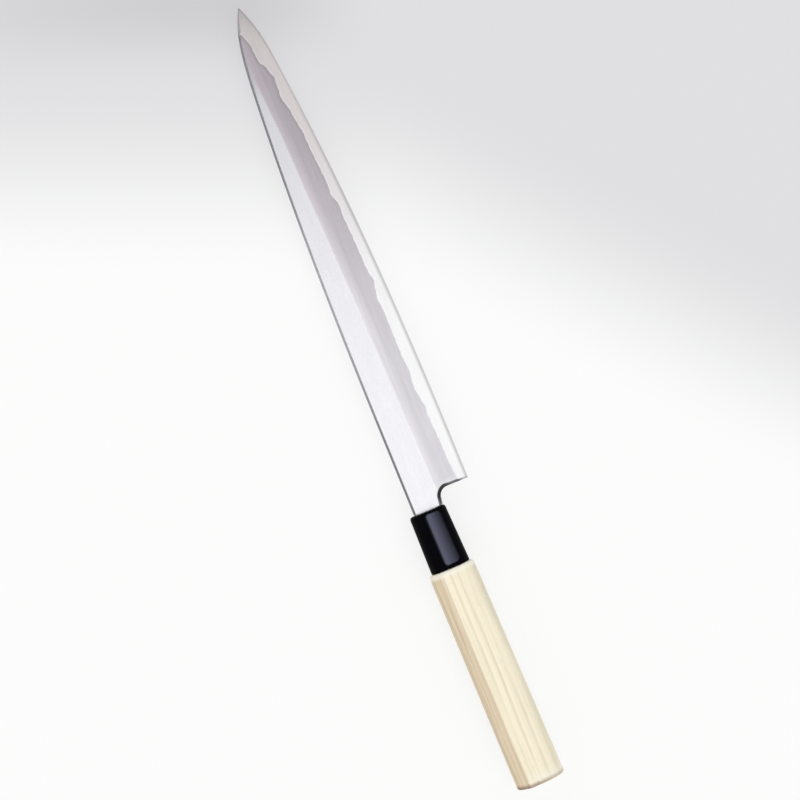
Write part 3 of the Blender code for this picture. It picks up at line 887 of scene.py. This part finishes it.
def horn_finish(colours, ferrule_length):
    """Black horn with faint streaks along its fibres. It is dull beside a polished panel with
    round corners, which is worn towards the edge side."""
    f = Finish("black_horn")
    streaks = f.noise((28, 900, 900), 5.0, 0.62, 0.25)
    clouds = f.noise((25, 110, 110), move=(2, 0, 1))
    fine = f.noise((300, 6000, 6000), 2.0, 0.6)
    streaked = f.rise(streaks, 0.52, 0.80) * f.rise(clouds, 0.45, 0.75) * 0.6
    colour = f.mix(streaked, colours.horn, colours.horn_streaks)
    normal = f.bump(streaks * 0.7 + fine * 0.3, 0.000006, 0.5)

    across = f.line("across")
    from_middle = f.line("along") * -1 - ferrule_length * PANEL_MIDDLE[0]
    beyond = f.maths("MAXIMUM", f.maths("ABSOLUTE", from_middle) - ferrule_length * PANEL_HALF[0], 0.0)
    from_middle = across - PANEL_MIDDLE[1]
    beside = f.maths("MAXIMUM", f.maths("ABSOLUTE", from_middle) - PANEL_HALF[1], 0.0)
    away = f.node("CombineXYZ", None, {"X": beyond, "Y": beside})
    off_panel = f.rise(f.length(away) + (clouds - 0.5) * 0.0006, 0.0016, 0.0028)
    worn = f.rise(across, -0.0025, 0.0005, 0.33, 0.0)
    dull = f.maths("MINIMUM", off_panel + worn, 1.0)
    rough = 0.16 + (streaks - 0.5) * 0.08
    gloss = {"IOR": 1.6, "Specular_IOR_Level": 1.0, "Specular_Tint": (0.68, 0.70, 1.0, 1.0)}
    polished_horn = f.principled(Base_Color=colour, Roughness=rough, Normal=normal, **gloss)
    dull_horn = f.principled(Base_Color=colour, Roughness=0.45, Specular_IOR_Level=0.02, Normal=normal)
    return f.finished(f.node("MixShader", None, {0: dull, 1: polished_horn, 2: dull_horn}))


def handle_light_and_shade(f, colour, bend, streaks, sizes):
    """Wood with painted shade along its spine side, its edge side and its butt, and painted
    highlights at its shoulder and above the butt."""
    front = sizes.ferrule_length + FIT
    butt = front + sizes.handle_length
    across = f.line("across") + (bend - 0.5) * 0.001
    back = f.line("along") * -1
    # Painted shade on the spine-side facet beyond the ridge, with its grain streaks darker still.
    facet_shade = f.rise(across - f.rise(back, 0.03, 0.12, 0.0003, 0.0), 0.0046, 0.0072)
    colour = f.mix(facet_shade, colour, (0.80, 0.725, 0.66), "MULTIPLY")
    facet_shade_streaks = facet_shade * f.rise(streaks, 0.50, 0.62) * 0.5
    colour = f.mix(facet_shade_streaks, colour, (0.86, 0.78, 0.70), "MULTIPLY")
    # Painted shade along the edge side, weaker towards the butt, and along the outermost spine side.
    edge_side_shade = f.fall(across, -0.0112, -0.0070) * f.rise(back, 0.045, 0.085, 0.22, 0.10)
    colour = f.scaled(colour, 1 - (edge_side_shade + f.rise(across, 0.0095, 0.0118, 0.0, 0.10)))
    # Painted highlights: a pale band on the rounded shoulder by the ferrule, and a fainter one above the
    # butt off the shaded facet.
    pale = f.rise(back, front + 0.0017, front + 0.0037, 0.6, 0.0)
    pale = pale + f.rise(back, butt - 0.0080, butt - 0.0025) * (1 - facet_shade) * 0.3
    colour = f.mix(pale, colour, (1.0, 0.97, 0.87))
    # Painted shade on the butt's rounded rim: dark brown, stronger towards the spine side and weaker on
    # the end face itself.
    rim = f.rise(back + (streaks - 0.5) * 0.0010, butt - 0.0030, butt - 0.0006)
    rim = rim * f.rise(across, -0.010, 0.004, 0.6, 1.0)
    end_face_fade = f.rise(back, butt - 0.0003, butt - 0.0001, 1.0, 0.3)
    return f.mix(rim * end_face_fade * 0.9, colour, (0.32, 0.24, 0.19), "MULTIPLY")


def wood_finish(name, colours, tone=1.0, handle_sizes=None):
    """Bare magnolia: growth rings round a far-off heart, fine fibres and short pores. The rings
    run through the wood, so that the end grain shows them too."""
    f = Finish(name)
    bend = f.noise((9, 75, 75), 3.0, 0.55)
    blotch = f.noise((16, 120, 120), move=(1, 2, 3))
    streaks = f.noise((20, 1000, 900), 3.0, 0.6, 0.2)
    fibres = f.noise((60, 3800, 3800), 4.0, 0.7)
    pores = f.rise(f.noise((420, 5200, 5200), 1.0, move=(7, 3, 1)), 0.64, 0.76)

    heart_y, heart_z = TREE_HEART
    from_heart = f.length(f.stretched((0, 1, 1), move=(0, -PLACE.y - heart_y, -heart_z)))
    from_heart = from_heart + (bend - 0.5) * 0.0020 + (blotch - 0.5) * 0.0012
    ring = f.maths("SINE", from_heart * (2 * math.pi / RING_WIDTH) + RING_START)
    strong = f.rise(f.noise((9, 240, 240), 2.0, move=(3, 0, 5)), 0.38, 0.62, 0.35, 1.1)
    late = f.rise(ring + (blotch - 0.5) * 0.8, -0.1, 1.0) * strong
    streaked = late * 0.66 + f.rise(streaks, 0.42, 0.70) * 0.36
    colour = f.mix(streaked, colours.wood, colours.grain)
    level = (1 - f.rise(fibres, 0.50, 0.80) * 0.07) * (1 - pores * 0.18)
    colour = f.scaled(colour, level * (1 + (blotch - 0.5) * 0.10) * tone)
    if handle_sizes is not None:
        colour = handle_light_and_shade(f, colour, bend, streaks, handle_sizes)
    rough = 0.60 - late * 0.06 + (fibres - 0.5) * 0.16
    normal = f.bump(fibres * 0.6 + streaks * 0.3 - pores * 0.8, 0.00003, 0.4)
    return f.shade(Base_Color=colour, Roughness=rough, Normal=normal)


def resin_finish(colours):
    """Smooth set resin with small waves in its surface and dark specks."""
    f = Finish("amber_resin")
    waves = f.noise((700, 700, 700), 2.0)
    specks = f.noise((3500, 3500, 3500), 2.0)
    colour = f.mix(f.rise(waves, 0.35, 0.7), colours.resin, shaded(colours.resin, 0.6))
    colour = f.mix(f.rise(specks, 0.62, 0.75) * 0.4, colour, (0.05, 0.03, 0.02))
    rough = 0.22 + (waves - 0.5) * 0.2
    return f.shade(Base_Color=colour, Roughness=rough, Normal=f.bump(waves, 0.00006, 0.6))


def towards(f, turn):
    """Distance over the floor towards the photo's top, or turned from there to the right."""
    angle = PHOTO_TURN + turn
    direction = (math.cos(angle), -math.sin(angle), 0)
    return f.vector_maths("DOT_PRODUCT", {0: f.place(), 1: direction}, "Value")


def floor_finish(colours):
    """A pale ground with painted shade beyond the knife's tip, and a little more at the upper left
    of the camera's view. The camera and mirrored rays see most of it without shade."""
    f = Finish("pale_floor")
    beyond = towards(f, 0.0)
    aslant = towards(f, FLOOR_LEAN) * (1 / math.cos(FLOOR_LEAN))
    far = f.length(f.place())
    # Painted shade on the ground beyond the tip, fading far off.
    shade_beyond_tip = f.rise(f.maths("SMOOTH_MAX", beyond, aslant, 0.015), 0.053, 0.166) * f.fall(far, 0.30, 0.90)
    paint = f.mix(shade_beyond_tip, colours.floor, colours.floor_shade)
    # More painted shade towards the upper left beside the tip, fading far off.
    left = f.rise(towards(f, -math.pi / 2), 0.0, 0.080)
    corner = f.rise(beyond, 0.155, 0.200) * left * f.fall(far, 0.21, 0.36)
    paint = f.scaled(paint, 1 - corner * 0.17)
    ground = f.node("BsdfDiffuse", None, {"Color": paint})
    glow = f.node("Emission", None, {"Color": paint, "Strength": 1.0})
    rays = ("Is Camera Ray", "Is Glossy Ray", "Is Transmission Ray")
    camera, glossy, passing = [f.node("LightPath", result=ray) for ray in rays]
    seen = f.maths("MAXIMUM", f.maths("MAXIMUM", camera, glossy), passing)
    return f.finished(f.node("MixShader", None, {0: seen * FLOOR_GLOW, 1: ground, 2: glow}))


def blade_stations(start, end):
    """Places for the rings of the blade, finer by the choil and near the tip."""
    by_choil = [x for x in spread(NECK_FRONT, CHOIL_ZONE, CHOIL_STEP) if x > start + CHOIL_STEP / 2]
    middle = spread(CHOIL_ZONE, TIP_STEP_START, BLADE_STEP)[1:]
    near_tip = spread(TIP_STEP_START, end, TIP_STEP)[1:]
    return [start, *by_choil, *middle, *near_tip]


def iron_stations(blade):
    """Places for the soft iron's rings. Two lie close together where the edge steel starts."""
    stations = blade_stations(NECK_FRONT, blade.iron_end())
    step = WELD_SEAM * 2
    neck = [x for x in stations if x < STEEL_START - step]
    rest = [x for x in stations if x > STEEL_START + step]
    return [*neck, STEEL_START - step, STEEL_START, *rest]


class KNIFE_OT_blade(bpy.types.Operator):
    """Builds the soft iron body and the edge steel"""

    bl_idname = "knife.blade"
    bl_label = "Blade"

    def execute(self, context):
        blade = BladeShape(context.scene.blade_sizes)
        colours = context.scene.knife_colours
        self.build_iron(blade, colours)
        self.build_steel(blade, colours)
        return {"FINISHED"}

    def build_iron(self, blade, colours):
        iron = new_piece("iron_blade", wrap([blade.iron_ring(x) for x in iron_stations(blade)]))
        carve(iron, [choil_cutter(blade)])
        round_choil(iron, blade, lambda x, drop: blade.top(x, drop) - blade.iron_floor(x) - WELD_SEAM)
        tang = bar(STEEL_START / 2, -TANG_LENGTH, TANG_ROOT, TANG_END)
        carve(iron, [new_piece("tang", tang)], "UNION")
        mark_blade(iron, blade)
        settle(iron, "soft_iron_body", soft_iron_finish(colours))

    def build_steel(self, blade, colours):
        stations = blade_stations(STEEL_START, blade.sizes.length)
        steel = new_piece("steel_blade", wrap([blade.steel_ring(x) for x in stations]))
        carve(steel, [choil_cutter(blade)])
        round_choil(steel, blade, lambda x, drop: (drop - blade.weld(x)) / 2)
        mark_blade(steel, blade)
        settle(steel, "edge_steel", edge_steel_finish(colours))


class KNIFE_OT_ferrule(bpy.types.Operator):
    """Builds the horn ferrule"""

    bl_idname = "knife.ferrule"
    bl_label = "Ferrule"

    def execute(self, context):
        sizes = context.scene.grip_sizes
        length = sizes.ferrule_length
        ends = (sizes.ferrule_front, sizes.ferrule_rear)
        rings = grip_rings(0.0, length, *ends, FERRULE_RIDGE, FERRULE_ROUNDINGS, FERRULE_STEP)
        ferrule = new_piece("horn_ferrule", wrap(rings))
        pocket = new_piece("pocket", bar(OVERSIZE, -SEAL_DEPTH, SEAL_POCKET, SEAL_POCKET, SEAL_CORNER))
        carve(ferrule, [pocket, tang_passage(-TANG_LENGTH), dowel_bore(DOWEL_FRONT + FIT)])
        mark_grip(ferrule)
        settle(ferrule, "ferrule", horn_finish(context.scene.knife_colours, length))
        return {"FINISHED"}


class KNIFE_OT_handle(bpy.types.Operator):
    """Builds the wooden handle"""

    bl_idname = "knife.handle"
    bl_label = "Handle"

    def execute(self, context):
        sizes = context.scene.grip_sizes
        start = -sizes.ferrule_length - FIT
        ends = (sizes.handle_front, sizes.handle_butt)
        roundings = (sizes.shoulder, sizes.butt_rounding)
        rings = grip_rings(start, sizes.handle_length, *ends, HANDLE_RIDGE, roundings, HANDLE_STEP)
        handle = new_piece("wood_handle", wrap(rings))
        carve(handle, [tang_passage(-TANG_LENGTH - FIT), dowel_bore(OVERSIZE)])
        mark_grip(handle)
        finish = wood_finish("pale_magnolia_wood", context.scene.knife_colours, handle_sizes=sizes)
        settle(handle, "handle", finish)
        return {"FINISHED"}


class KNIFE_OT_joinery(bpy.types.Operator):
    """Finishes the dowel and the resin seal, which keep their frame shapes"""

    bl_idname = "knife.joinery"
    bl_label = "Dowel and seal"

    def execute(self, context):
        colours = context.scene.knife_colours
        dowel_wood = wood_finish("dowel_wood", colours, tone=0.85)
        for name, finish in (("dowel", dowel_wood), ("mouth_seal", resin_finish(colours))):
            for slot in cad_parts[name].material_slots:
                slot.material = finish
        return {"FINISHED"}


class KNIFE_OT_studio(bpy.types.Operator):
    """Sets the floor, the lights and the camera"""

    bl_idname = "knife.studio"
    bl_label = "Studio"

    def execute(self, context):
        self.lay_floor(context.scene.knife_colours)
        self.light(context.scene)
        self.set_camera(context.scene)
        context.scene.view_settings.view_transform = "Standard"
        return {"FINISHED"}

    def lay_floor(self, colours):
        shape = bmesh.new()
        bmesh.ops.create_grid(shape, x_segments=1, y_segments=1, size=FLOOR_REACH)
        floor = new_piece("floor", shape)
        floor.data.materials.append(floor_finish(colours))

    def light(self, scene):
        """A broad soft light above the knife and its edge's side, one beyond each end, a strip
        beyond the spine, and a pale horizon. x and y are 0 straight above the knife."""
        scene.world = bpy.data.worlds.new("studio")
        f = Finish("studio", scene.world)
        toward = f.node("TexCoord", result="Generated")
        x = f.axis("X", toward)
        y = f.axis("Y", toward)
        above = f.fall(y, 0.235, 0.30) * f.rise(y, -0.92, -0.74)
        above = above * f.rise(y, -0.78, -0.30, 0.40, 1.0) * f.rise(x, 0.04, 0.27, 1.0, 0.20)
        above = above * f.rise(x, -0.25, 0.14, 0.75, 1.0)
        ends = f.rise(f.maths("ABSOLUTE", x), 0.45, 0.70)
        behind = f.rise(y, 0.40, 0.50) * f.fall(y, 0.80, 0.95)
        glow = above * ABOVE_GLOW + ends * ENDS_GLOW + behind * BEHIND_GLOW + DIM_GLOW
        horizon = f.fall(f.axis("Z", toward), 0.12, 0.30)
        strength = glow * (1 - horizon) + horizon
        back = f.node("Background", None, {"Color": (1, 1, 1, 1), "Strength": strength})
        f.node("OutputWorld", None, {"Surface": back})

    def set_camera(self, scene):
        """Looks straight down on the knife."""
        data = bpy.data.cameras.new("camera")
        data.lens = data.sensor_width * CAMERA_DISTANCE / PHOTO_WIDTH
        camera = bpy.data.objects.new("camera", data)
        camera.location = (PLACE.x + CAMERA_X, PLACE.y - CAMERA_DROP, MID_HEIGHT + CAMERA_DISTANCE)
        camera.rotation_euler.z = -math.pi / 2 - PHOTO_TURN
        scene.collection.objects.link(camera)
        scene.camera = camera


class KNIFE_PT_panel(bpy.types.Panel):
    """Lists the knife's pieces, sizes and colours"""

    bl_idname = "KNIFE_PT_panel"
    bl_label = "Fuguhiki knife"
    bl_space_type = "VIEW_3D"
    bl_region_type = "UI"
    bl_category = "Knife"

    def draw(self, context):
        for operator in OPERATORS:
            self.layout.operator(operator.bl_idname)
        for name, group in GROUPS.items():
            column = self.layout.column(align=True)
            for value in group.__annotations__:
                column.prop(getattr(context.scene, name), value)


OPERATORS = (KNIFE_OT_blade, KNIFE_OT_ferrule, KNIFE_OT_handle, KNIFE_OT_joinery, KNIFE_OT_studio)
GROUPS = {"blade_sizes": BladeSizes, "grip_sizes": GripSizes, "knife_colours": KnifeColours}


def register():
    for item in (*GROUPS.values(), *OPERATORS, KNIFE_PT_panel):
        bpy.utils.register_class(item)
    for name, group in GROUPS.items():
        setattr(bpy.types.Scene, name, PointerProperty(type=group))


def unregister():
    for name in GROUPS:
        delattr(bpy.types.Scene, name)
    for item in (KNIFE_PT_panel, *reversed(OPERATORS), *GROUPS.values()):
        bpy.utils.unregister_class(item)


def main():
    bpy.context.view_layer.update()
    register()
    bpy.ops.knife.blade()
    bpy.ops.knife.ferrule()
    bpy.ops.knife.handle()
    bpy.ops.knife.joinery()
    bpy.ops.knife.studio()


if __name__ == "__main__":
    main()
